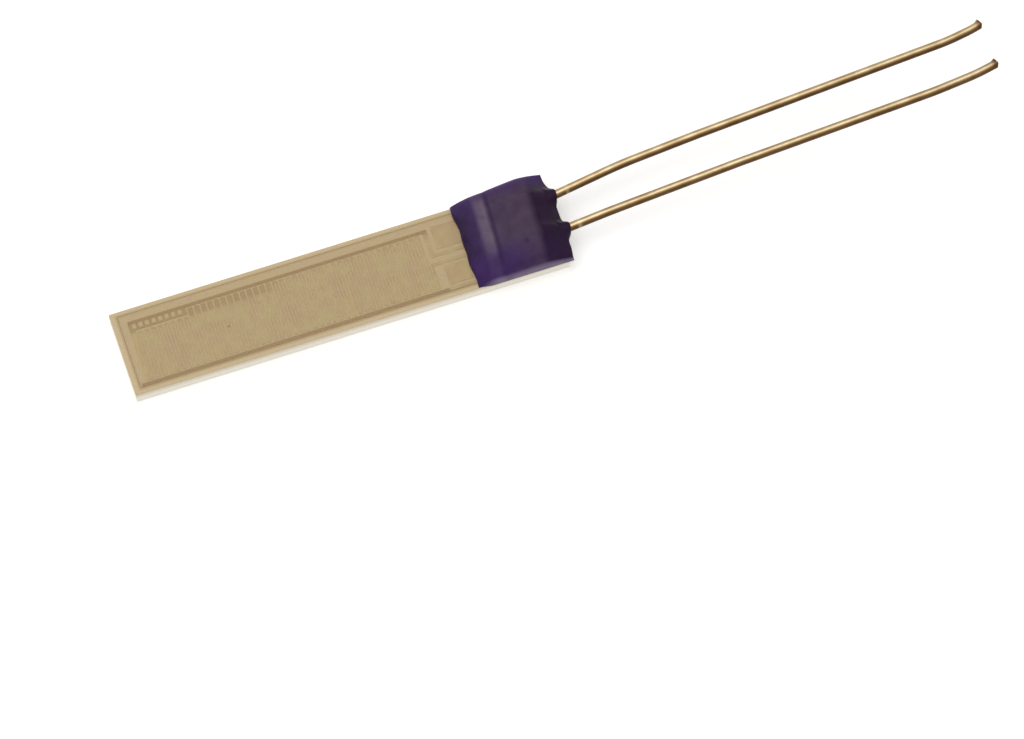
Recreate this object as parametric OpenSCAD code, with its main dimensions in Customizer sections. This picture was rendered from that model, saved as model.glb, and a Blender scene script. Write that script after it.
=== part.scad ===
// Thin film platinum temperature sensor with two lead wires.
// Millimetres. Origin: centre of the chip's underside. +X runs along the chip to the leads, +Z is up.

/* [Chip] */
// length of the ceramic chip
chip_length = 10; // [9.7:0.1:11.5]
// width of the ceramic chip
chip_width = 2; // [1.96:0.02:2.2]
// thickness of the ceramic chip
chip_thickness = 0.4; // [0.25:0.05:0.65]

/* [Platinum film] */
// thickness of the film, drawn thicker than the real coating
film_thickness = 0.01; // [0.008:0.001:0.015]
// distance from one leg of the meander to the next
leg_pitch = 0.075; // [0.07:0.0025:0.09]
// width of the meander's track
track_width = 0.0375; // [0.03:0.0025:0.0425]
// width of the rail along the left edge
rail_width = 0.07; // [0.05:0.01:0.08]
// rungs of the trimming ladder
rung_count = 9; // [4:1:14]
// deep turns of the trimming comb
comb_turns = 13; // [4:1:20]
// depth of a comb turn
comb_depth = 0.235; // [0.12:0.005:0.3]
// cut corner of each turn
turn_chamfer = 0.016; // [0.008:0.002:0.018]
// width of the two run-outs to the lands
runout_width = 0.065; // [0.05:0.005:0.07]

/* [Contact pads] */
// thickness of the printed pads
pad_thickness = 0.02; // [0.014:0.002:0.03]
// length of a pad along the chip
pad_length = 1.3; // [1.1:0.1:1.3]
// width of a pad
pad_width = 0.5; // [0.44:0.02:0.54]

/* [Glass cover] */
// thickness of the clear glass over the film
glass_thickness = 0.03; // [0.02:0.005:0.045]
// bare ceramic left along the two long edges
glass_margin = 0.12; // [0.08:0.01:0.14]
// bare ceramic left at the tip
glass_tip_margin = 0.15; // [0.1:0.01:0.2]

/* [Fixing drop] */
// length of chip covered by the drop
drop_cover = 2.11; // [1.95:0.01:2.2]
// greatest height of the drop above the chip
drop_height = 0.54; // [0.5:0.01:0.65]
// how far the drop hangs over the lead end
drop_overhang = 0.125; // [0.06:0.005:0.16]
// how far the drop would swell past the left edge
drop_side_bulge = 0.13; // [0.05:0.005:0.15]
// length of the front slope
front_slope = 0.5; // [0.4:0.02:0.56]
// length of the rear slope
rear_slope = 0.62; // [0.5:0.02:0.7]

/* [Lead wires] */
// radius of a lead wire
lead_radius = 0.1; // [0.08:0.005:0.11]
// depth by which a wire is pressed flat on its pad
foot_flat = 0.03; // [0.02:0.005:0.04]
// length of the straight foot on the pad
foot_length = 0.65; // [0.5:0.05:0.75]
// distance of the left foot from the middle of the chip
left_foot_y = 0.4; // [0.38:0.01:0.46]
// distance of the right foot from the middle of the chip
right_foot_y = 0.385; // [0.37:0.01:0.46]
// free length of wire past the chip
free_length = 10.41; // [9:0.1:14]

/* [Hidden] */
chip_end = chip_length / 2;
half_width = chip_width / 2;
top_z = chip_thickness;
film_z = top_z + film_thickness;
pad_z = film_z + pad_thickness;
axis_z = pad_z + lead_radius - foot_flat;

// meander
leg_period = 2 * leg_pitch;
field_x = -chip_end + 0.33;
field_room = chip_end - 2.92 - field_x;
pair_count = floor(field_room / leg_period + 0.01);
field_end = field_x + pair_count * leg_period;
field_bottom = -half_width + 0.25;
plain_top = half_width - 0.405;
ladder_top = half_width - 0.59;
rail_y = half_width - 0.34;
ladder_y = half_width - 0.517;
ladder_width = 0.05;
edge_rail_y = -half_width + 0.18;
edge_rail_width = 0.065;
pair_width = leg_pitch + track_width;
end_track_x = field_end + 0.05;
end_track_width = 0.1;
runout_a = 0.043;
runout_b = -0.157;
land_start = field_end + 0.25;
land_end = chip_end - 0.2;
land_inner = 0.17;
land_top = land_inner + 0.09;
land_outer = half_width - 0.28;
join_start = chip_end - 1.6;
join_end = join_start + 0.1;
ladder_low = ladder_y - ladder_width / 2;
ladder_end = field_x + (rung_count - 1) * leg_period + pair_width;

// glass cover
glass_start = -chip_end + glass_tip_margin;
glass_end = chip_end - 1.7;
glass_half = half_width - glass_margin;

// pads
pad_start = chip_end - 1.55;
left_pad_y = left_foot_y + 0.045;
right_pad_y = -right_foot_y - 0.06;

// leads
foot_start = chip_end - 1.4;
foot_bend = foot_start + foot_length;
lead_scale = free_length / 10.41;
wire_sides = 20;
bend_steps = 3;
burr = 0.4;
left_exit_y = left_foot_y + 0.12 * (chip_end - foot_bend + 0.15);
right_exit_y = -right_foot_y + 0.058 * (chip_end - foot_bend + 0.15);

// drop
drop_foot = chip_end - drop_cover;
drop_stations = 30;
drop_columns = 26;
collar_height = 0.31;
drop_root = top_z - 0.06;
crease_x = chip_end - 1.4;

// Meander outline

function pair_x(i) = field_x + i * leg_period;

function pair_top(i) = i <= rung_count - 1 ? ladder_top : plain_top;

function turn_depth(i) = i <= rung_count - 1 ? track_width
    : i < rung_count + comb_turns ? comb_depth
    : 0.045;

// upper edge of one pair of legs, from right to left
function pair_over(i) = let (x = pair_x(i), t = pair_top(i), c = turn_chamfer) [
    [x + pair_width, field_bottom + track_width],
    [x + pair_width, t - c],
    [x + pair_width - c, t],
    [x + c, t],
    [x, t - c],
    [x, field_bottom + track_width]
];

// lower edge of one pair of legs, from left to right
function pair_under(i) = let (x = pair_x(i), t = pair_top(i) - turn_depth(i), c = turn_chamfer) [
    [x + track_width - c, field_bottom],
    [x + track_width, field_bottom + c],
    [x + track_width, t],
    [x + leg_pitch, t],
    [x + leg_pitch, field_bottom + c],
    [x + leg_pitch + c, field_bottom]
];

// left land, run-out, end track and rail, down to the foot of the first leg
upper_edge = [
    [land_end, land_inner],
    [land_end, land_outer],
    [land_start, land_outer],
    [land_start, land_inner],
    [join_start, land_inner],
    [join_start, runout_a + runout_width / 2],
    [end_track_x + end_track_width, runout_a + runout_width / 2],
    [end_track_x + end_track_width, rail_y + rail_width / 2],
    [field_x, rail_y + rail_width / 2],
    [field_x, field_bottom + turn_chamfer],
    [field_x + turn_chamfer, field_bottom]
];

// last short leg, run-out, right land and the rail along the right edge
lower_edge = [
    [field_end + track_width - turn_chamfer, field_bottom],
    [field_end + track_width, field_bottom + turn_chamfer],
    [field_end + track_width, runout_b - runout_width / 2],
    [join_start, runout_b - runout_width / 2],
    [join_start, -land_top],
    [land_start, -land_top],
    [land_start, -land_outer],
    [join_start, -land_outer],
    [join_start, edge_rail_y + edge_rail_width / 2],
    [-chip_end + 0.2, edge_rail_y + edge_rail_width / 2],
    [-chip_end + 0.2, edge_rail_y - edge_rail_width / 2],
    [join_end, edge_rail_y - edge_rail_width / 2],
    [join_end, -land_outer],
    [land_end, -land_outer],
    [land_end, -land_top],
    [join_end, -land_top],
    [join_end, runout_b + runout_width / 2],
    [field_end, runout_b + runout_width / 2],
    [field_end, field_bottom + track_width]
];

// from the first leg along the ladder and under the rail back to the left land
inner_edge = [
    [field_x + pair_width, field_bottom + track_width],
    [field_x + pair_width, ladder_low],
    [ladder_end, ladder_low],
    [ladder_end, rail_y - rail_width / 2],
    [end_track_x, rail_y - rail_width / 2],
    [end_track_x, runout_a - runout_width / 2],
    [join_end, runout_a - runout_width / 2],
    [join_end, land_inner]
];

// one conductor from land to land, with the light windows of the ladder cut out
module film_outline() {
    under = [for (i = [1 : pair_count - 1]) for (p = pair_under(i)) p];
    over = [for (i = [pair_count - 1 : -1 : 1]) for (p = pair_over(i)) p];
    difference() {
        polygon(concat(upper_edge, under, lower_edge, over, inner_edge));
        for (i = [0 : rung_count - 2]) {
            translate([pair_x(i) + leg_pitch, ladder_low + ladder_width])
            square([0.6 * leg_period, rail_y - rail_width / 2 - ladder_low - ladder_width]);
        }
    }
}

module platinum_film() {
    color([0.63, 0.55, 0.41])
    translate([0, 0, top_z])
    linear_extrude(height = film_thickness)
    film_outline();
}

// Chip, pads and glass cover

module ceramic_substrate() {
    color([0.93, 0.90, 0.84])
    translate([-chip_end, -half_width, 0])
    cube([chip_length, chip_width, chip_thickness]);
}

module contact_pad(y) {
    color([0.80, 0.79, 0.76])
    translate([pad_start, y - pad_width / 2, film_z])
    cube([pad_length, pad_width, pad_thickness]);
}

module left_contact_pad() {
    contact_pad(left_pad_y);
}

module right_contact_pad() {
    contact_pad(right_pad_y);
}

module glass_sheet() {
    translate([glass_start, -glass_half, top_z])
    cube([glass_end - glass_start, 2 * glass_half, glass_thickness]);
}

module glass_passivation() {
    color([0.86, 0.80, 0.66, 0.4])
    difference() {
        glass_sheet();
        platinum_film();
    }
}

// Formed wire

function unit(v) = v / norm(v);

function leg_dir(p, i) = unit(p[i + 1] - p[i]);

function turn_angle(p, i) = acos(min(1, leg_dir(p, i - 1) * leg_dir(p, i)));

// points on the bend at point i
function bend_points(p, r, i) = let (
    u = leg_dir(p, i - 1),
    v = leg_dir(p, i),
    b = r[i] * tan(turn_angle(p, i) / 2)
) [for (k = [0 : bend_steps]) let (t = k / bend_steps) p[i] - u * b * pow(1 - t, 2) + v * b * t * t];

// centre-line through the points p with bend radii r
function centre_line(p, r) = let (n = len(p) - 1) concat(
    [p[0]],
    [for (i = [1 : n - 1]) for (q = bend_points(p, r, i)) q],
    [p[n] - leg_dir(p, n - 1) * 1.2 * lead_radius],
    [p[n]]
);

function line_dir(c, k) = unit(c[min(k + 1, len(c) - 1)] - c[max(k - 1, 0)]);

// one ring of the wire's skin, pressed flat where it meets the pad
function wire_ring(c, k) = let (
    u = line_dir(c, k),
    side = unit(cross([0, 0, 1], u)),
    up = cross(u, side),
    tip = k == len(c) - 1 ? 1 : 0
) [for (j = [0 : wire_sides - 1]) let (
    a = 360 * (j + 0.5) / wire_sides,
    y = lead_radius * cos(a) * (1 + tip * burr * hump(abs(a - 180) - 180, 55)),
    z = lead_radius * sin(a),
    q = c[k] + side * y + up * z + u * tip * tip_back(y)
) [q[0], q[1], max(q[2], pad_z)]];

// how far the two cutter faces lie behind the ridge of the tip
function tip_back(y) = let (d = y + 0.4 * lead_radius) d < 0 ? 0.75 * d : -0.2 * d;

// skin of the wire from its foot to ring number last
module wire_skin(p, r, last) {
    c = centre_line(p, r);
    n = wire_sides;
    full = last >= len(c) - 1;
    m = full ? len(c) - 1 : last;
    skin = [for (k = [0 : m - 1]) for (j = [0 : n - 1]) for (h = [0, 1]) let (i = (j + 1) % n)
        h == 0 ? [k * n + j, (k + 1) * n + i, k * n + i] : [k * n + j, (k + 1) * n + j, (k + 1) * n + i]];
    foot = [[for (j = [0 : n - 1]) j]];
    end = full ? [for (j = [0 : n - 1]) [m * n + (j + 1) % n, m * n + j, (m + 1) * n]]
        : [[for (j = [n - 1 : -1 : 0]) m * n + j]];
    points = concat([for (k = [0 : m]) for (q = wire_ring(c, k)) q], full ? [c[m]] : []);
    polyhedron(points = points, faces = concat(skin, foot, end));
}

function lead_point(d, y, z) = [foot_bend + d * lead_scale, y, axis_z + z];

left_path = let (y = left_foot_y) [
    [foot_start, y, axis_z],
    [foot_bend, y, axis_z],
    lead_point(2.5, y + 0.3 * lead_scale, 0.1665 * lead_scale),
    lead_point(4.35, y + 0.412 * lead_scale, 0.233 * lead_scale),
    lead_point(10.35, y + 0.682 * lead_scale, 0.449 * lead_scale),
    lead_point(10.9, y + 0.763 * lead_scale, 0.469 * lead_scale),
    lead_point(11.17, y + 0.827 * lead_scale, 0.479 * lead_scale)
];

right_path = let (y = -right_foot_y) [
    [foot_start, y, axis_z],
    [foot_bend, y, axis_z],
    lead_point(1.95, y + 0.113 * lead_scale, 0.1365 * lead_scale),
    lead_point(5.05, y + 0.261 * lead_scale, 0.258 * lead_scale),
    lead_point(9.65, y + 0.42 * lead_scale, 0.424 * lead_scale),
    lead_point(10.65, y + 0.5 * lead_scale, 0.46 * lead_scale),
    lead_point(11.19, y + 0.597 * lead_scale, 0.479 * lead_scale)
];

left_radii = [0, 1.5, 12, 12, 5, 2.3, 0];
right_radii = [0, 1.5, 12, 12, 10, 5, 0];

module left_lead_wire() {
    color([0.80, 0.69, 0.48])
    wire_skin(left_path, left_radii, 999);
}

module right_lead_wire() {
    color([0.80, 0.69, 0.48])
    wire_skin(right_path, right_radii, 999);
}

// the stretch of each wire that lies in the drop
module held_wires() {
    wire_skin(left_path, left_radii, bend_steps + 2);
    wire_skin(right_path, right_radii, bend_steps + 2);
}

// Fixing drop

function clamp(t) = min(1, max(0, t));

function ease(t) = let (k = clamp(t)) k * k * (3 - 2 * k);

function hump(d, w) = exp(-pow(abs(d) / w, 3));

function at_left(y) = hump(y - left_exit_y, 0.17);

function at_right(y) = hump(y - right_exit_y, 0.17);

// front edge and lead-end edge of the drop at y
function front_x(y) = drop_foot + 0.015 * sin(y * 260) - 0.01 * sin(y * 610);

function rear_x(y) = chip_end + drop_overhang + 0.075 * at_left(y) + 0.12 * at_right(y)
    - 0.09 * ease((y - half_width + 0.423) / 0.402) - 0.03 * ease((-y - half_width + 0.25) / 0.25);

// edges along the chip at x
function far_y(x) = half_width + 0.095 + drop_side_bulge * ease((x - drop_foot) / 2.2);

// how far the far side draws back to the chip's edge at its foot
function tuck(x) = far_y(x) - half_width + 0.008;

function near_y(x) = -half_width + 0.004 - 0.05 * ease((x - drop_foot) / 0.35);

// height of the middle of the drop above the chip
function front_rise(d) = let (t = clamp(d / front_slope)) pow(1 - pow(1 - t, 1.6), 0.75);

function rear_fall(d) = let (t = clamp(d / rear_slope)) 1 - 0.9 * pow(1 - t, 1.35);

function crown(x, y) = drop_height - 0.035 * (1 - ease((x - drop_foot - 0.4) / 0.9))
    - 0.03 * exp(-pow((x - crease_x - 0.04 * y) / 0.06, 2));

function body_height(x, y) = let (f = front_rise(x - front_x(y)), r = rear_fall(rear_x(y) - x))
    0.05 + (crown(x, y) - 0.05) * f * r;

// collar where a wire leaves the drop
function drop_rise(x, y) = let (h = body_height(x, y), k = at_left(y) + at_right(y))
    h + max(0, collar_height - h) * k * ease((x - chip_end + 0.45) / 0.25);

// fall of the section towards its two edges
function section(q) = q < 0 ? pow(1 - pow(-q, 3.2), 1 / 1.8) : pow(1 - pow(q, 4.3), 1 / 2.1);

function station(i) = let (t = i / drop_stations) 0.35 * t + 0.65 * (0.5 - 0.5 * cos(180 * t));

function drop_point(i, j) = let (
    q = sin(-90 + 180 * j / drop_columns),
    s = station(i),
    x0 = drop_foot + s * (chip_end + drop_overhang - drop_foot),
    y = q < 0 ? -q * near_y(x0) : q * far_y(x0) - pow(max(0, q - 0.9) / 0.1, 2) * tuck(x0),
    x = front_x(y) + 0.012 + s * (rear_x(y) - front_x(y) - 0.012)
) [x, y, abs(q) < 1 ? top_z + drop_rise(x, y) * section(q) : drop_root];

function foot_point(j) = let (p = drop_point(0, j)) [p[0] - 0.012, p[1], drop_root];

function tail_point(j) = let (p = drop_point(drop_stations, j)) [p[0] + 0.01, p[1], drop_root];

function row(i) = [for (j = [0 : drop_columns])
    i == 0 ? foot_point(j) : i == drop_stations + 2 ? tail_point(j) : drop_point(i - 1, j)];

module drop_body() {
    n = drop_columns + 1;
    last = drop_stations + 2;
    points = [for (i = [0 : last]) for (p = row(i)) p];
    skin = [for (i = [0 : last - 1]) for (j = [0 : drop_columns - 1]) for (k = [0, 1])
        k == 0 ? [i * n + j, i * n + j + 1, (i + 1) * n + j + 1]
        : [i * n + j, (i + 1) * n + j + 1, (i + 1) * n + j]];
    edge = concat(
        [for (i = [0 : last]) i * n],
        [for (j = [1 : drop_columns]) last * n + j],
        [for (i = [last - 1 : -1 : 0]) i * n + drop_columns],
        [for (j = [drop_columns - 1 : -1 : 1]) j]
    );
    middle = [[drop_foot + drop_cover / 2, 0, drop_root]];
    base = [for (k = [0 : len(edge) - 1]) [len(points), edge[k], edge[(k + 1) % len(edge)]]];
    polyhedron(points = concat(points, middle), faces = concat(base, skin));
}

// the chip's top and everything on it that the drop flows round
module printed_layers() {
    sink = 0.1;
    translate([drop_foot - 1, -chip_width, top_z - 0.5])
    cube([drop_cover + 2, 2 * chip_width, 0.5]);
    translate([glass_start, -glass_half, top_z - sink])
    cube([glass_end - glass_start, 2 * glass_half, glass_thickness + sink]);
    translate([0, 0, top_z - sink])
    linear_extrude(height = film_thickness + sink)
    intersection() {
        translate([glass_end - 0.1, -half_width])
        square([chip_end - glass_end, chip_width]);
        film_outline();
    }
    for (y = [left_pad_y, right_pad_y]) {
        translate([pad_start, y - pad_width / 2, top_z - sink])
        cube([pad_length, pad_width, pad_z - top_z + sink]);
    }
}

module fixing_drop() {
    color([0.24, 0.18, 0.31])
    difference() {
        drop_body();
        printed_layers();
        held_wires();
    }
}

ceramic_substrate();
platinum_film();
left_contact_pad();
right_contact_pad();
glass_passivation();
left_lead_wire();
right_lead_wire();
fixing_drop();
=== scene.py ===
import math

import bmesh
import bpy
import numpy as np
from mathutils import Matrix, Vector


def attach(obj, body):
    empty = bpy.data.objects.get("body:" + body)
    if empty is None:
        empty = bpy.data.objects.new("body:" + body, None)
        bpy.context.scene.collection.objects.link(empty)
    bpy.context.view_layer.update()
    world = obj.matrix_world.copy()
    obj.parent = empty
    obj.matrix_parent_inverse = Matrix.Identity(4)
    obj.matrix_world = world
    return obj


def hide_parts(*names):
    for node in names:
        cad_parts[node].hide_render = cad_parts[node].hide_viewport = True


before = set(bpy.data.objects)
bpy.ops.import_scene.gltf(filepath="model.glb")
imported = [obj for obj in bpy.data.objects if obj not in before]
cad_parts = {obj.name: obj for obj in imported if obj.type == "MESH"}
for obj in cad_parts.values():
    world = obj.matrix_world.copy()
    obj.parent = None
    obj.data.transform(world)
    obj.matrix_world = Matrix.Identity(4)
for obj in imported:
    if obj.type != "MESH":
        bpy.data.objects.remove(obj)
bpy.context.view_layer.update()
millimetre = 0.001  # every length in a piece's dictionary is in millimetres
print("frame loaded")


def linear(code):  # an sRGB hex colour as the linear values that nodes take
    parts = [int(code[i:i + 2], 16) / 255 for i in (1, 3, 5)]
    return tuple(c / 12.92 if c <= 0.04045 else ((c + 0.055) / 1.055) ** 2.4 for c in parts) + (1.0,)


def addNode(tree, kind, inputs, stops=(), **settings):
    node = tree.nodes.new(kind if "Node" in kind else "ShaderNode" + kind)
    for name, value in settings.items():
        setattr(node, name, value)
    for socket, value in inputs.items():
        if isinstance(value, bpy.types.NodeSocket):
            tree.links.new(value, node.inputs[socket])
        else:
            node.inputs[socket].default_value = value
    if stops:  # a colour ramp comes with two points, and the rest are added between them
        points = node.color_ramp.elements
        for point, (at, code) in zip((points[0], points[1]), (stops[0], stops[-1])):
            point.position = at
            point.color = linear(code)
        for at, code in stops[1:-1]:
            points.new(at).color = linear(code)
    return node


def newMaterial(name, values):
    material = bpy.data.materials.new(name)
    material.use_nodes = True
    shader = material.node_tree.nodes["Principled BSDF"]
    for socket, value in values.items():
        shader.inputs[socket].default_value = linear(value) if isinstance(value, str) else value
    return material, material.node_tree, shader


def meshObject(name, points, faces, material, smooth=True, edges=()):
    mesh = bpy.data.meshes.new(name)
    mesh.from_pydata([tuple(c * millimetre for c in p) for p in points], edges, faces)
    mesh.validate()
    mesh.materials.append(material)
    mesh.polygons.foreach_set("use_smooth", [smooth] * len(mesh.polygons))
    made = bpy.data.objects.new(name, mesh)
    bpy.context.scene.collection.objects.link(made)
    return made


def settle(made):  # the shape that the modifier gives becomes a plain mesh
    done = bpy.data.meshes.new_from_object(made.evaluated_get(bpy.context.evaluated_depsgraph_get()))
    made.modifiers.clear()
    made.data = done


def bevelledBox(name, low, high, edge, steps, material):
    points = [(x, y, z) for x in (low[0], high[0]) for y in (low[1], high[1]) for z in (low[2], high[2])]
    faces = [(0, 1, 3, 2), (4, 6, 7, 5), (0, 4, 5, 1), (2, 3, 7, 6), (0, 2, 6, 4), (1, 5, 7, 3)]
    made = meshObject(name, points, faces, material, smooth=False)
    bevel = made.modifiers.new("edge", "BEVEL")
    bevel.width = edge * millimetre
    bevel.segments = steps
    bevel.limit_method = "NONE"
    settle(made)
    return made


def place(made, node):
    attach(made, "root")
    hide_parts(node)


def spotted(tree, coords, colour, centre, radius, dark, outer=1.3, inner=0.4, share=0.7):
    # one soft dark dot, strongest within inner radii of its centre and gone at outer radii
    away = addNode(tree, "VectorMath", {0: coords.outputs["Object"], 1: [c * millimetre for c in centre]},
                   operation="DISTANCE")
    near = addNode(tree, "MapRange", {"Value": away.outputs["Value"], "From Min": radius * outer * millimetre,
                                      "From Max": radius * inner * millimetre, "To Max": share})
    return addNode(tree, "Mix", {"Factor": near.outputs["Result"], "A": colour, "B": linear(dark)},
                   data_type="RGBA").outputs["Result"]


def mottled(tree, coords, colour, size, tones, detail=2.0):  # cloudy patches of this size over the colour
    noise = addNode(tree, "TexNoise", {"Vector": coords.outputs["Object"], "Scale": 1 / (size * millimetre),
                                       "Detail": detail})
    patches = addNode(tree, "ValToRGB", {"Fac": noise.outputs["Fac"]}, tones)
    return addNode(tree, "Mix", {"Factor": 1.0, "A": colour, "B": patches.outputs["Color"]},
                   data_type="RGBA", blend_type="MULTIPLY").outputs["Result"]


def roughened(tree, shader, coords, size, depth, stretch=(1.0, 1.0, 1.0), detail=4.0):
    # bumps of this size and depth; a stretch below 1 draws them out along that axis
    grain = addNode(tree, "VectorMath", {0: coords.outputs["Object"], 1: stretch}, operation="MULTIPLY")
    noise = addNode(tree, "TexNoise", {"Vector": grain.outputs["Vector"], "Scale": 1 / (size * millimetre),
                                       "Detail": detail})
    bump = addNode(tree, "Bump", {"Height": noise.outputs["Fac"], "Distance": depth * millimetre,
                                  "Strength": 1.0})
    tree.links.new(bump.outputs["Normal"], shader.inputs["Normal"])


def ease(t):  # 0 to 1 with a soft start and end
    k = np.clip(t, 0, 1)
    return k * k * (3 - 2 * k)


def hump(away, wide):  # 1 in the middle, with a flat crown and soft sides
    return np.exp(-(np.abs(away) / wide) ** 3)


chip = {
    "low": (-5.0, -1.0, 0.0), "high": (5.0, 1.0, 0.4), "edge": 0.012, "edgeSteps": 2,
    # from the underside up to the printed face, as shares of the thickness; the side's fade from near white
    # below to tan at its top edge is painted light and shade
    "tones": [(0.0, "#fbf6ea"), (0.45, "#fbf6ea"), (0.94, "#d6c7ac"), (0.985, "#c5b18c")],
    # painted shade along the step at the cover glass's edge, a brown line: its tone, half its width, its
    # depth, its strength from the inside to the outside, and the outline it follows, as the middle in x and
    # the reach in x and y
    "edgeShade": "#a38964", "edgeShadeWide": 0.06, "edgeShadeDeep": 0.02,
    "edgeShadeBand": [(0.0, "#000000"), (0.35, "#707070"), (0.55, "#d8d8d8"), (1.0, "#000000")],
    "coverMiddle": -0.775, "coverReach": (4.075, 0.88),
    "grain": 0.04, "grainTones": [(0.35, "#efedea"), (0.65, "#ffffff")], "grainDetail": 3.0, "bump": 0.0012,
    "speck": (-2.58, -0.1, 0.4), "speckSize": 0.03, "dirt": "#5d4a2e",
}

# Alumina, cast as tape, fired and snapped: a matt ceramic, nearly white at the side and tan on the
# printed face, with a fine even grain. Real grains are some 0.004 mm, too fine to show, so they are
# drawn ten times as coarse.
alumina, tree, shader = newMaterial("fired alumina", {"Roughness": 0.6, "Specular IOR Level": 0.3})
coords = addNode(tree, "TexCoord", {})
parts = addNode(tree, "SeparateXYZ", {"Vector": coords.outputs["Object"]})
rise = addNode(tree, "MapRange", {"Value": parts.outputs["Z"], "From Max": chip["high"][2] * millimetre})
# up the side the colour is painted light and shade: near white low down, darker towards the top edge
tone = addNode(tree, "ValToRGB", {"Fac": rise.outputs["Result"]}, chip["tones"])
colour = mottled(tree, coords, tone.outputs["Color"], chip["grain"], chip["grainTones"], chip["grainDetail"])

# painted shade: a brown line on the chip's top along the step at the cover glass's edge
off = addNode(tree, "Math", {0: parts.outputs["X"], 1: chip["coverMiddle"] * millimetre},
              operation="SUBTRACT")
beyond = []  # how far a point lies outside the cover's outline, along the chip and across it
for way, half in zip((off.outputs["Value"], parts.outputs["Y"]), chip["coverReach"]):
    size = addNode(tree, "Math", {0: way}, operation="ABSOLUTE")
    past = addNode(tree, "Math", {0: size.outputs["Value"], 1: half * millimetre}, operation="SUBTRACT")
    beyond.append(past.outputs["Value"])
outside = addNode(tree, "Math", {0: beyond[0], 1: beyond[1]}, operation="MAXIMUM")
band = addNode(tree, "MapRange", {"Value": outside.outputs["Value"],
                                  "From Min": -chip["edgeShadeWide"] * millimetre,
                                  "From Max": chip["edgeShadeWide"] * millimetre})
edgeShade = addNode(tree, "ValToRGB", {"Fac": band.outputs["Result"]}, chip["edgeShadeBand"])
flat = addNode(tree, "MapRange", {"Value": parts.outputs["Z"],
                                  "From Min": (chip["high"][2] - chip["edgeShadeDeep"]) * millimetre,
                                  "From Max": chip["high"][2] * millimetre})
onTop = addNode(tree, "Math", {0: edgeShade.outputs["Color"], 1: flat.outputs["Result"]}, operation="MULTIPLY")
edgeShaded = addNode(tree, "Mix", {"Factor": onTop.outputs["Value"], "A": colour, "B": linear(chip["edgeShade"])},
                  data_type="RGBA")
colour = spotted(tree, coords, edgeShaded.outputs["Result"], chip["speck"], chip["speckSize"], chip["dirt"])
tree.links.new(colour, shader.inputs["Base Color"])
roughened(tree, shader, coords, chip["grain"], chip["bump"])

chipBody = bevelledBox("chipBody", chip["low"], chip["high"], chip["edge"], chip["edgeSteps"], alumina)
place(chipBody, "ceramic_substrate")
print("chip done")


film = {
    "tones": [(0.35, "#aa9170"), (0.5, "#af9a73"), (0.65, "#b0a372")], "patch": 0.3,  # pinkish, tan, olive
    # the darker rails: white where they lie, as shares of the chip's width, and where they end
    "rail": "#947a54", "railEnd": 2.31, "railFade": 0.04,
    "railBand": [(0.0, "#ffffff"), (0.11, "#ffffff"), (0.13, "#000000"), (0.78, "#000000"),
                 (0.81, "#ffffff")],
    # the darker comb: across the chip, then along it, each from bare to full
    "comb": "#8e744e", "combAcross": (0.37, 0.43), "combAlong": (-1.1, -1.5), "combShare": 0.6,
    "pad": "#b8b2a4", "grain": 0.02, "bump": 0.0006,
}

# Platinum, printed as paste and fired, then cut to a pattern: a thin metal film with little shine, seen
# through glass in patches of three close tones about 0.3 mm wide. The paste's grain is some 0.002 mm and
# is drawn ten times as coarse, so that it shows.
platinum, tree, shader = newMaterial("platinum film", {
    "Roughness": 0.5, "Metallic": 0.3, "Specular IOR Level": 0.3})
coords = addNode(tree, "TexCoord", {})
noise = addNode(tree, "TexNoise", {"Vector": coords.outputs["Object"],
                                   "Scale": 1 / (film["patch"] * millimetre)})
patches = addNode(tree, "ValToRGB", {"Fac": noise.outputs["Fac"]}, film["tones"])
parts = addNode(tree, "SeparateXYZ", {"Vector": coords.outputs["Object"]})
outer = addNode(tree, "MapRange", {"Value": parts.outputs["Y"], "From Min": chip["low"][1] * millimetre,
                                   "From Max": chip["high"][1] * millimetre})
rails = addNode(tree, "ValToRGB", {"Fac": outer.outputs["Result"]}, film["railBand"])
before = addNode(tree, "MapRange", {"Value": parts.outputs["X"], "From Min": film["railEnd"] * millimetre,
                                    "From Max": (film["railEnd"] - film["railFade"]) * millimetre})
onRail = addNode(tree, "Math", {0: rails.outputs["Color"], 1: before.outputs["Result"]},
                 operation="MULTIPLY")
upper = addNode(tree, "MapRange", {"Value": parts.outputs["Y"],
                                   "From Min": film["combAcross"][0] * millimetre,
                                   "From Max": film["combAcross"][1] * millimetre,
                                   "To Max": film["combShare"]})
leftward = addNode(tree, "MapRange", {"Value": parts.outputs["X"],
                                      "From Min": film["combAlong"][0] * millimetre,
                                      "From Max": film["combAlong"][1] * millimetre})
inComb = addNode(tree, "Math", {0: upper.outputs["Result"], 1: leftward.outputs["Result"]},
                 operation="MULTIPLY")
colour = patches.outputs["Color"]
for factor, other in ((inComb.outputs["Value"], film["comb"]), (onRail.outputs["Value"], film["rail"])):
    colour = addNode(tree, "Mix", {"Factor": factor, "A": colour, "B": linear(other)},
                     data_type="RGBA").outputs["Result"]
colour = spotted(tree, coords, colour, chip["speck"], chip["speckSize"], chip["dirt"])
tree.links.new(colour, shader.inputs["Base Color"])
roughened(tree, shader, coords, film["grain"], film["bump"])

# Conductor paste, printed and fired: a pale grey metal, satin and slightly grainy.
padMetal, tree, shader = newMaterial("fired pad print", {
    "Base Color": film["pad"], "Roughness": 0.45, "Metallic": 1.0})
roughened(tree, shader, addNode(tree, "TexCoord", {}), film["grain"], film["bump"])

for name, material in (("platinum_film", platinum), ("left_contact_pad", padMetal),
                       ("right_contact_pad", padMetal)):
    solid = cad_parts[name]
    solid.data.materials.clear()
    solid.data.materials.append(material)
print("film done")


cover = {
    "low": (-4.85, -0.88, 0.4104), "high": (3.3, 0.88, 0.43), "rim": 0.009, "rimSteps": 1, "levelFrom": 0.9,
    "tint": "#bda67c", "alpha": 0.1, "rimTint": "#91774a", "rimAlpha": 0.35, "wave": 0.4, "bump": 0.004,
}

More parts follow.
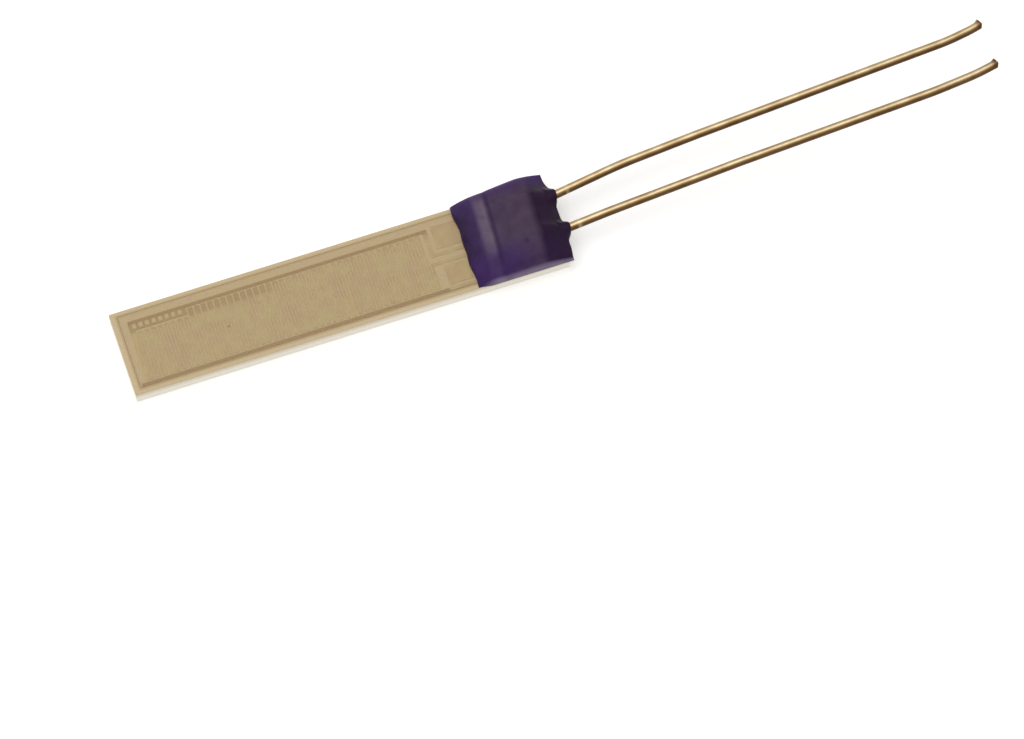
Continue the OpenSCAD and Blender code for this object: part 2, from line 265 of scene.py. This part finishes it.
# Cover glass, printed and fired until it flows: clear with a warm tint and a soft shine, so the film
# shows through. Its surface rolls in waves about 0.4 mm long.
coverGlass, tree, shader = newMaterial("clear cover glass", {
    "Base Color": cover["tint"], "Roughness": 0.25, "Alpha": cover["alpha"], "Specular IOR Level": 0.2})
roughened(tree, shader, addNode(tree, "TexCoord", {}), cover["wave"], cover["bump"])
# The same glass at its edge, where one looks along the layer: darker, and a fine line to the eye.
rimGlass, tree, shader = newMaterial("cover glass rim", {
    "Base Color": cover["rimTint"], "Roughness": 0.4, "Alpha": cover["rimAlpha"], "Specular IOR Level": 0.1})
roughened(tree, shader, addNode(tree, "TexCoord", {}), cover["wave"], cover["bump"])

coverSheet = bevelledBox("coverSheet", cover["low"], cover["high"], cover["rim"], cover["rimSteps"],
                         coverGlass)
coverSheet.data.materials.append(rimGlass)
for face in coverSheet.data.polygons:
    face.material_index = 0 if abs(face.normal.z) > cover["levelFrom"] else 1
place(coverSheet, "glass_passivation")
print("cover done")


lead = {
    "radius": 0.0988, "sides": 40, "bendSteps": 10, "padTop": 0.43, "axis": 0.5, "bend": 4.25,
    # the cut end: its straight stretch, which points belong to it, the burr that the cutter leaves, with
    # its reach in degrees, and the ridge between the cutter's two faces
    "tipLength": 0.12, "tipNear": 0.001, "burr": 0.4, "burrReach": 55,
    "ridge": 0.4, "nearCut": 0.75, "farCut": 0.2,
    # painted light and shade, from the wire's shaded side to its lit side with a painted highlight, and the
    # way the painted lit side faces
    "tones": [(0.0, "#5e4830"), (0.32, "#775e3e"), (0.52, "#a68e66"), (0.7, "#ccba96"), (0.87, "#c9b895"),
              (1.0, "#ae9772")],
    "lit": (0.0, 0.6, 0.8),
    # a painted glint on a nick by the drop, and the colour darkened towards the cut tip
    "nick": 5.46, "nickReach": 0.15, "pale": "#dcc8a2",
    "nickBand": [(0.0, "#000000"), (0.3, "#000000"), (0.45, "#989898"), (0.55, "#989898"),
                 (0.7, "#000000"), (1.0, "#000000")],
    "tip": 15.27, "tipFade": 0.09, "end": "#5a3c22", "endShare": 0.85,
    "streak": 0.03, "drawn": (0.05, 1.0, 1.0), "bump": 0.002,
    "patch": 0.35, "wear": [(0.35, "#e2d8cc"), (0.65, "#ffffff")],
}
# points on each wire's middle line: x from the bend by the pad, y, and z from the height of the axis
leadPaths = {
    "left_lead_wire": [(-0.65, 0.4, 0), (0, 0.4, 0), (2.5, 0.7, 0.1665), (4.35, 0.812, 0.233),
                       (10.35, 1.082, 0.449), (10.9, 1.163, 0.469), (11.17, 1.227, 0.479)],
    "right_lead_wire": [(-0.65, -0.385, 0), (0, -0.385, 0), (1.95, -0.272, 0.1365), (5.05, -0.124, 0.258),
                        (9.65, 0.035, 0.424), (10.65, 0.115, 0.46), (11.187, 0.212, 0.479)],
}
# how wide the wire bends at each of those points
leadRadii = {"left_lead_wire": [0, 1.5, 12, 12, 5, 2.3, 0], "right_lead_wire": [0, 1.5, 12, 12, 10, 5, 0]}


def wireTree(material):  # a round wire swept along a path, flattened where it meets the pad
    tree = bpy.data.node_groups.new("wireAlongPath", "GeometryNodeTree")
    keys = {name: tree.interface.new_socket(name, in_out="INPUT", socket_type="NodeSocket" + kind).identifier
            for name, kind in (("Path", "Geometry"), ("Wire Radius", "Float"), ("Sides", "Int"),
                               ("Bend Steps", "Int"), ("Pad Top", "Float"))}
    tree.interface.new_socket("Wire", in_out="OUTPUT", socket_type="NodeSocketGeometry")
    given = addNode(tree, "NodeGroupInput", {}).outputs
    path = addNode(tree, "GeometryNodeMeshToCurve", {"Mesh": given["Path"]})
    bend = addNode(tree, "GeometryNodeInputNamedAttribute", {"Name": "bendRadius"}, data_type="FLOAT")
    bent = addNode(tree, "GeometryNodeFilletCurve", {
        "Curve": path.outputs["Curve"], "Count": given["Bend Steps"],
        "Radius": bend.outputs["Attribute"]}, mode="POLY")
    ring = addNode(tree, "GeometryNodeCurvePrimitiveCircle", {
        "Resolution": given["Sides"], "Radius": given["Wire Radius"]}, mode="RADIUS")
    tube = addNode(tree, "GeometryNodeCurveToMesh", {
        "Curve": bent.outputs["Curve"], "Profile Curve": ring.outputs["Curve"], "Fill Caps": True})
    spot = addNode(tree, "GeometryNodeInputPosition", {})
    here = addNode(tree, "SeparateXYZ", {"Vector": spot.outputs["Position"]})
    onPad = addNode(tree, "Math", {0: here.outputs["Z"], 1: given["Pad Top"]}, operation="MAXIMUM")
    flat = addNode(tree, "CombineXYZ", {"X": here.outputs["X"], "Y": here.outputs["Y"],
                                        "Z": onPad.outputs["Value"]})
    seated = addNode(tree, "GeometryNodeSetPosition", {
        "Geometry": tube.outputs["Mesh"], "Position": flat.outputs["Vector"]})
    real = addNode(tree, "GeometryNodeRealizeInstances", {"Geometry": seated.outputs["Geometry"]})
    painted = addNode(tree, "GeometryNodeSetMaterial", {
        "Geometry": real.outputs["Geometry"], "Material": material})
    addNode(tree, "NodeGroupOutput", {"Wire": painted.outputs["Geometry"]})
    return tree, keys


def cutTip(mesh, tip, along):  # two cutter faces that meet in a ridge, and the burr they leave
    side = Vector((0, 0, 1)).cross(along).normalized()
    up = along.cross(side)
    shape = bmesh.new()
    shape.from_mesh(mesh)
    bmesh.ops.poke(shape, faces=[face for face in shape.faces if len(face.verts) > 4])
    bmesh.ops.recalc_face_normals(shape, faces=shape.faces)
    for vertex in shape.verts:
        away = vertex.co / millimetre - tip
        if abs(away.dot(along)) < lead["tipNear"]:
            y, z = away.dot(side), away.dot(up)
            y *= 1 + lead["burr"] * float(hump(math.degrees(math.atan2(z, y)), lead["burrReach"]))
            fromRidge = y + lead["ridge"] * lead["radius"]
            back = fromRidge * (lead["nearCut"] if fromRidge < 0 else -lead["farCut"])
            vertex.co = (tip + side * y + up * z + along * back) * millimetre
    for face in shape.faces:
        face.smooth = len(face.verts) == 4
    shape.to_mesh(mesh)
    shape.free()


def leadWire(name, points, radii, material, tree, keys):
    path = [Vector((lead["bend"] + x, y, lead["axis"] + z)) for x, y, z in points]
    along = (path[-1] - path[-2]).normalized()
    path.insert(-1, path[-1] - along * lead["tipLength"])
    made = meshObject(name, path, [], material, edges=[(k, k + 1) for k in range(len(path) - 1)])
    bends = made.data.attributes.new("bendRadius", "FLOAT", "POINT")
    bends.data.foreach_set("value", [r * millimetre for r in radii[:-1] + [0, 0]])
    sweep = made.modifiers.new("sweep", "NODES")
    sweep.node_group = tree
    for socket, value in (("Wire Radius", lead["radius"] * millimetre), ("Sides", lead["sides"]),
                          ("Bend Steps", lead["bendSteps"]), ("Pad Top", lead["padTop"] * millimetre)):
        sweep[keys[socket]] = value
    made.data.update()
    settle(made)
    cutTip(made.data, path[-1], along)
    return made


# Thin wire of a pale gold metal, drawn through a die and lightly tarnished, with a soft shine that runs along
# it. Its colour carries painted light by the way the surface faces: a painted highlight on the lit side and
# painted brown shade on the side turned away. The draw lines are a few thousandths of a millimetre wide, and
# are drawn 0.03 wide so that they show. The tarnish lies in patches about 0.35 mm wide.
wireMetal, tree, shader = newMaterial("pale gold wire", {"Roughness": 0.3, "Metallic": 1.0})
coords = addNode(tree, "TexCoord", {})
# painted light and shade: the colour follows the way each point of the surface faces
lean = addNode(tree, "VectorMath", {0: coords.outputs["Normal"], 1: lead["lit"]}, operation="DOT_PRODUCT")
colour = addNode(tree, "ValToRGB", {"Fac": lean.outputs["Value"]}, lead["tones"]).outputs["Color"]
parts = addNode(tree, "SeparateXYZ", {"Vector": coords.outputs["Object"]})
nicked = addNode(tree, "MapRange", {"Value": parts.outputs["X"],
                                    "From Min": (lead["nick"] - lead["nickReach"]) * millimetre,
                                    "From Max": (lead["nick"] + lead["nickReach"]) * millimetre})
nick = addNode(tree, "ValToRGB", {"Fac": nicked.outputs["Result"]}, lead["nickBand"])
toTip = addNode(tree, "MapRange", {"Value": parts.outputs["X"], "From Min": lead["tip"] * millimetre,
                                   "From Max": (lead["tip"] + lead["tipFade"]) * millimetre,
                                   "To Max": lead["endShare"]})
# a painted glint at the nick, and the colour darkened towards the tip
for factor, other in ((nick.outputs["Color"], lead["pale"]), (toTip.outputs["Result"], lead["end"])):
    colour = addNode(tree, "Mix", {"Factor": factor, "A": colour, "B": linear(other)},
                     data_type="RGBA").outputs["Result"]
colour = mottled(tree, coords, colour, lead["patch"], lead["wear"])
tree.links.new(colour, shader.inputs["Base Color"])
roughened(tree, shader, coords, lead["streak"], lead["bump"], lead["drawn"])

sweepTree, sweepKeys = wireTree(wireMetal)
for name, points in leadPaths.items():
    wire = leadWire(name.replace("_lead_wire", "Lead"), points, leadRadii[name], wireMetal, sweepTree,
                    sweepKeys)
    place(wire, name)
print("leads done")


drop = {
    "foot": 2.89, "chipEnd": 5.0, "half": 1.0, "top": 0.4, "overhang": 0.125, "height": 0.54,
    "stations": 150, "columns": 120, "evenShare": 0.35,  # rows stand closer at the front and the rear
    "ripples": ((0.015, 260), (-0.01, 610)),  # of the front edge: how far, and degrees to a millimetre
    # where the two wires come out, how wide each draws the glass out, and how far
    "exits": (0.508, -0.3328), "exitWide": 0.17, "exitPull": (0.075, 0.12),
    # the rear corners: how far each is set back, where that starts from the chip's side, and over what
    "farCorner": (0.09, 0.423, 0.402), "nearCorner": (0.03, 0.25, 0.25),
    # how the height swells: the lip, the slopes and how round they are
    "lip": 0.05, "frontSlope": 0.5, "frontRound": (1.6, 0.75), "rearSlope": 0.62, "rearFall": 0.9,
    "rearRound": 1.35,
    "sink": 0.035, "sinkFrom": 0.4, "sinkLong": 0.9,
    "crease": 3.6, "creaseDeep": 0.03, "creaseLean": 0.04, "creaseWide": 0.06,
    "collar": 0.31, "collarFrom": 0.45, "collarLong": 0.25,
    # across: the powers of each half's section, and how far the sides stand out
    "nearSection": (3.2, 1.8), "farSection": (4.3, 2.1), "farOut": 0.095, "bulge": 0.13, "bulgeLong": 2.2,
    "nearIn": 0.004, "nearOut": 0.046, "nearLong": 0.35, "tuckFrom": 0.9, "tuckPast": 0.008,
    "frontLip": 0.012, "footOut": 0.006, "tailOut": 0.008, "baseMiddle": 1.05,
    # tones along the drop, by the distance in x from the chip's middle, and the slant of the bands; on the
    # violet they paint a highlight in the pale band, shade in the crease and on the rear slope, and a greyish
    # sheen over the crown
    "bands": [(2.85, "#2e1f41"), (3.24, "#3c2a53"), (3.34, "#5d4e65"), (3.5, "#655668"), (3.55, "#504057"),
              (3.6, "#332243"), (3.68, "#48384f"), (4.46, "#48384b"), (4.62, "#27112f"), (5.3, "#231029")],
    "slant": (1.0, -0.06, 0.0),
    # the purer violet at both sides, where the crown's painted sheen gives way, and the lilac near edge, a
    # painted reflection, as shares of the way across
    "violet": "#3f255b", "lilac": "#7c6e87", "across": (-1.05, 1.15),
    "nearSide": [(0.0, "#f0f0f0"), (0.2, "#e8e8e8"), (0.36, "#000000"), (1.0, "#000000")],
    "farSide": [(0.0, "#000000"), (0.8, "#000000"), (0.92, "#e8e8e8"), (1.0, "#f0f0f0")],
    "nearEdge": [(0.0, "#ffffff"), (0.014, "#ffffff"), (0.038, "#000000"), (1.0, "#000000")],
    "violetAlong": (4.5, 3.7), "violetLeast": 0.15, "lilacAlong": (2.98, 3.3),
    "patch": 0.25, "patchTones": [(0.3, "#d8d4dc"), (0.7, "#ffffff")], "patchDetail": 3.0, "bump": 0.004,
    # a small pit on the crown, drawn as painted shade: where it is, how wide, and how dark
    "pit": (4.19, -0.46, 0.9), "pitSize": 0.07, "pitShade": "#2e2138",
}


def atWires(y):
    return [hump(y - at, drop["exitWide"]) for at in drop["exits"]]


def frontX(y):
    return drop["foot"] + sum(far * np.sin(np.radians(y * turn)) for far, turn in drop["ripples"])


def rearX(y):
    rear = drop["chipEnd"] + drop["overhang"]
    for pull, near in zip(drop["exitPull"], atWires(y)):
        rear = rear + pull * near
    for side, (back, start, reach) in ((1, drop["farCorner"]), (-1, drop["nearCorner"])):
        rear = rear - back * ease((side * y - drop["half"] + start) / reach)
    return rear


def dropRise(x, y):  # height over the chip's top
    front = np.clip((x - frontX(y)) / drop["frontSlope"], 0, 1)
    rear = np.clip((rearX(y) - x) / drop["rearSlope"], 0, 1)
    low = drop["sink"] * (1 - ease((x - drop["foot"] - drop["sinkFrom"]) / drop["sinkLong"]))
    fromCrease = (x - drop["crease"] - drop["creaseLean"] * y) / drop["creaseWide"]
    crown = drop["height"] - low - drop["creaseDeep"] * np.exp(-fromCrease ** 2)
    inner, outer = drop["frontRound"]
    rise = drop["lip"] + ((crown - drop["lip"]) * (1 - (1 - front) ** inner) ** outer
                          * (1 - drop["rearFall"] * (1 - rear) ** drop["rearRound"]))
    atCollar = ease((x - drop["chipEnd"] + drop["collarFrom"]) / drop["collarLong"])
    return rise + np.maximum(0, drop["collar"] - rise) * sum(atWires(y)) * atCollar


def dropSkin(material):
    q = np.sin(np.linspace(-math.pi / 2, math.pi / 2, drop["columns"] + 1))  # -1 near side, 1 far side
    t = np.linspace(0, 1, drop["stations"] + 1)
    nearHalf, farHalf = [(1 - np.abs(q) ** inner) ** (1 / outer)
                         for inner, outer in (drop["nearSection"], drop["farSection"])]
    section = np.where(q < 0, nearHalf, farHalf)
    even = drop["evenShare"]
    rows = []
    for share in even * t + (1 - even) * (0.5 - 0.5 * np.cos(math.pi * t)):
        run = share * (drop["chipEnd"] + drop["overhang"] - drop["foot"])
        far = drop["half"] + drop["farOut"] + drop["bulge"] * ease(run / drop["bulgeLong"])
        near = -drop["half"] + drop["nearIn"] - drop["nearOut"] * ease(run / drop["nearLong"])
        tuck = far - drop["half"] + drop["tuckPast"]
        tucked = (np.maximum(0, q - drop["tuckFrom"]) / (1 - drop["tuckFrom"])) ** 2
        y = np.where(q < 0, -q * near, q * far - tucked * tuck)
        x = frontX(y) + drop["frontLip"] + share * (rearX(y) - frontX(y) - drop["frontLip"])
        rows.append(np.stack([x, y, drop["top"] + dropRise(x, y) * section], axis=1))
    foot, tail = rows[0] * (1, 1, 0), rows[-1] * (1, 1, 0)
    rows = [foot + (-drop["footOut"], 0, drop["top"])] + rows + [tail + (drop["tailOut"], 0, drop["top"])]
    n, last = drop["columns"] + 1, len(rows) - 1
    points = [tuple(map(float, p)) for row in rows for p in row]
    points.append((drop["foot"] + drop["baseMiddle"], 0.0, drop["top"]))
    faces = [(i * n + j, (i + 1) * n + j, (i + 1) * n + j + 1, i * n + j + 1)
             for i in range(last) for j in range(n - 1)]
    ring = [i * n for i in range(last + 1)] + [last * n + j for j in range(1, n)]  # the foot's outline
    ring += [i * n + n - 1 for i in range(last - 1, -1, -1)] + list(range(n - 2, 0, -1))
    faces += [(len(points) - 1, ring[(k + 1) % len(ring)], ring[k]) for k in range(len(ring))]
    return meshObject("dropSkin", points, faces, material)


# Sealing glass, put on as a drop of violet paste and fired: an opaque satin violet body. Painted light lies
# on it: painted shade makes it nearly black violet at the wires and in the crease, a painted highlight
# makes a paler band, a painted greyish sheen covers the crown and leaves a purer violet at the sides, and
# a painted reflection makes a lilac lip along the near edge. It is cloudy in patches about 0.25 mm wide.
violet, tree, shader = newMaterial("violet fixing glass", {"Roughness": 0.42, "Specular IOR Level": 0.1})
coords = addNode(tree, "TexCoord", {})
low, high = drop["bands"][0][0], drop["bands"][-1][0]
slanted = addNode(tree, "VectorMath", {0: coords.outputs["Object"], 1: drop["slant"]},
                  operation="DOT_PRODUCT")
along = addNode(tree, "MapRange", {"Value": slanted.outputs["Value"], "From Min": low * millimetre,
                                   "From Max": high * millimetre})
# painted highlight, shade and sheen in bands along the drop
bands = addNode(tree, "ValToRGB", {"Fac": along.outputs["Result"]},
                [((at - low) / (high - low), code) for at, code in drop["bands"]])
parts = addNode(tree, "SeparateXYZ", {"Vector": coords.outputs["Object"]})
across = addNode(tree, "MapRange", {"Value": parts.outputs["Y"], "From Min": drop["across"][0] * millimetre,
                                    "From Max": drop["across"][1] * millimetre})
nearSide, farSide, nearEdge = [addNode(tree, "ValToRGB", {"Fac": across.outputs["Result"]}, drop[key])
                               for key in ("nearSide", "farSide", "nearEdge")]
forward = addNode(tree, "MapRange", {"Value": parts.outputs["X"],
                                     "From Min": drop["violetAlong"][0] * millimetre,
                                     "From Max": drop["violetAlong"][1] * millimetre,
                                     "To Min": drop["violetLeast"]})
pastFront = addNode(tree, "MapRange", {"Value": parts.outputs["X"],
                                       "From Min": drop["lilacAlong"][0] * millimetre,
                                       "From Max": drop["lilacAlong"][1] * millimetre})
atSide = addNode(tree, "Math", {0: nearSide.outputs["Color"], 1: forward.outputs["Result"]},
                 operation="MULTIPLY")
atEdge = addNode(tree, "Math", {0: nearEdge.outputs["Color"], 1: pastFront.outputs["Result"]},
                 operation="MULTIPLY")
colour = bands.outputs["Color"]
# purer violet at the sides, where the painted sheen stops, and a painted reflection at the lilac near edge
for factor, other in ((atSide.outputs["Value"], drop["violet"]), (farSide.outputs["Color"], drop["violet"]),
                      (atEdge.outputs["Value"], drop["lilac"])):
    colour = addNode(tree, "Mix", {"Factor": factor, "A": colour, "B": linear(other)},
                     data_type="RGBA").outputs["Result"]
colour = mottled(tree, coords, colour, drop["patch"], drop["patchTones"], drop["patchDetail"])
# painted shade in a small pit on the crown
colour = spotted(tree, coords, colour, drop["pit"], drop["pitSize"], drop["pitShade"])
tree.links.new(colour, shader.inputs["Base Color"])
roughened(tree, shader, coords, drop["patch"], drop["bump"])

place(dropSkin(violet), "fixing_drop")
print("drop done")


room = {
    "floor": 2000.0, "floorZ": -0.002, "albedo": "#f5f4f2", "white": "#ffffff",
    "lift": 0.24, "plainFrom": 40.0, "plainTo": 110.0,  # how the paper is seen: near by, and plain far off
    "world": 0.74, "seenWorld": 1.0,  # strengths: as light, and as seen
    "key": 0.42, "keySize": 0.32, "keyDirection": (-0.3, 0.2, 0.93), "keyDistance": 0.3,  # watts and metres
}

# Uncoated paper: a matt white that still takes the object's shadow.
paper, paperTree, shader = newMaterial("white paper", {
    "Base Color": room["albedo"], "Roughness": 0.9, "Specular IOR Level": 0.0,
    "Emission Color": room["white"]})
skyWorld = bpy.data.worlds.new("studio")
skyWorld.use_nodes = True
bpy.context.scene.world = skyWorld
sky = skyWorld.node_tree.nodes["Background"]
sky.inputs["Color"].default_value = linear(room["white"])

# the camera, metal and glass see both of them brighter than they light the object
for tree, socket, asLight, asSeen in (
        (paperTree, shader.inputs["Emission Strength"], 0.0, room["lift"]),
        (skyWorld.node_tree, sky.inputs["Strength"], room["world"], room["seenWorld"])):
    paths = addNode(tree, "LightPath", {}).outputs
    seen = addNode(tree, "Math", {0: paths["Is Camera Ray"], 1: paths["Is Glossy Ray"]}, operation="MAXIMUM")
    seen = addNode(tree, "Math", {0: seen.outputs["Value"], 1: paths["Is Transmission Ray"]},
                   operation="MAXIMUM")
    level = addNode(tree, "MapRange", {"Value": seen.outputs["Value"], "To Min": asLight, "To Max": asSeen})
    tree.links.new(level.outputs["Result"], socket)

# far from the object the paper is seen as plain white
paths = addNode(paperTree, "LightPath", {}).outputs
coords = addNode(paperTree, "TexCoord", {})
away = addNode(paperTree, "VectorMath", {0: coords.outputs["Object"]}, operation="LENGTH")
far = addNode(paperTree, "MapRange", {"Value": away.outputs["Value"],
                                      "From Min": room["plainFrom"] * millimetre,
                                      "From Max": room["plainTo"] * millimetre})
farSeen = addNode(paperTree, "Math", {0: far.outputs["Result"], 1: paths["Is Camera Ray"]},
                  operation="MULTIPLY")
glow = addNode(paperTree, "Emission", {"Color": linear(room["white"]), "Strength": 1.0})
both = addNode(paperTree, "MixShader", {"Fac": farSeen.outputs["Value"], 1: shader.outputs["BSDF"],
                                        2: glow.outputs["Emission"]})
paperTree.links.new(both.outputs["Shader"], paperTree.nodes["Material Output"].inputs["Surface"])

reach = room["floor"]
corners = [(x * reach, y * reach, room["floorZ"]) for x, y in ((-1, -1), (1, -1), (1, 1), (-1, 1))]
floor = meshObject("floor", corners, [(0, 1, 2, 3)], paper, smooth=False)

keyData = bpy.data.lights.new("key", "AREA")
keyData.energy = room["key"]
keyData.size = room["keySize"]
key = bpy.data.objects.new("key", keyData)
toKey = Vector(room["keyDirection"]).normalized()
key.location = toKey * room["keyDistance"]
key.rotation_euler = toKey.to_track_quat("Z", "Y").to_euler()
bpy.context.scene.collection.objects.link(key)

view = {"lens": 235.74, "sensor": 36.0, "clip": 0.001,
        "place": (-0.014437, -0.054546, 0.136516), "turn": (21.768, 0.0, -18.679)}  # metres and degrees

cameraData = bpy.data.cameras.new("camera")
cameraData.lens = view["lens"]
cameraData.sensor_width = view["sensor"]
cameraData.clip_start = view["clip"]
camera = bpy.data.objects.new("camera", cameraData)
camera.location = view["place"]
camera.rotation_euler = [math.radians(angle) for angle in view["turn"]]
bpy.context.scene.collection.objects.link(camera)

bpy.context.scene.camera = camera
bpy.context.scene.view_settings.view_transform = "Standard"
print("stage done")
